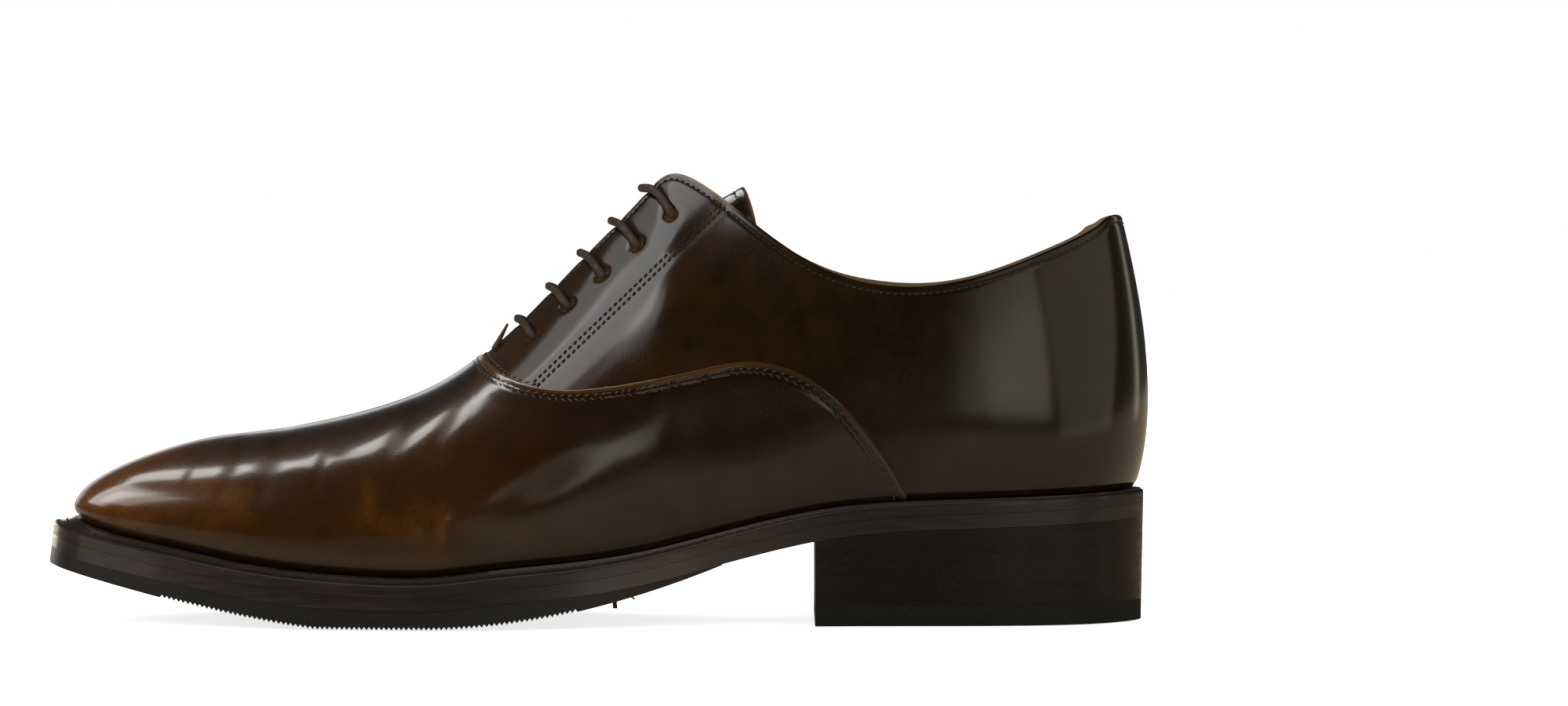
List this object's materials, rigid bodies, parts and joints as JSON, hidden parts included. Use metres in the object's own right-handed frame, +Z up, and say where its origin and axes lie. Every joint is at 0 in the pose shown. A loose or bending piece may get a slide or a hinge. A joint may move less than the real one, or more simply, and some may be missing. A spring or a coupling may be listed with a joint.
{
  "type": "elevator shoe",
  "caption": "Left plain-toe oxford dress shoe with closed lacing, curved vamp seam, stitched welt, rubber forefoot sole and a raised stacked block heel over a hidden heel lift.",
  "frame": {"origin": "centre of the shoe's bounding box, on the floor that it stands on", "axes": "+X from toe to heel along the foot, +Y towards the medial side, +Z up"},
  "size_m": [0.3118, 0.1029, 0.126],
  "materials": {
    "upper_leather": "high gloss, burnished toe",
    "tongue_leather": "gloss",
    "insole_lining": "matt lining",
    "welt_leather": "waxed",
    "midsole_leather": "waxed edge",
    "outsole_rubber": "matt",
    "heel_leather": "polished stacked edge",
    "heel_rubber": "matt",
    "lace_cord": "waxed round cord"
  },
  "bodies": {
    "root": {"upper": "upper_leather", "tongue": "tongue_leather", "insole": "insole_lining", "welt": "welt_leather", "midsole": "midsole_leather", "outsole": "outsole_rubber", "heel_stack": "heel_leather", "heel_top_piece": "heel_rubber", "lace_bar_1": "lace_cord", "lace_bar_2": "lace_cord", "lace_bar_3": "lace_cord", "lace_bar_4": "lace_cord", "lace_bar_5": "lace_cord"}
  },
  "joints": []
}
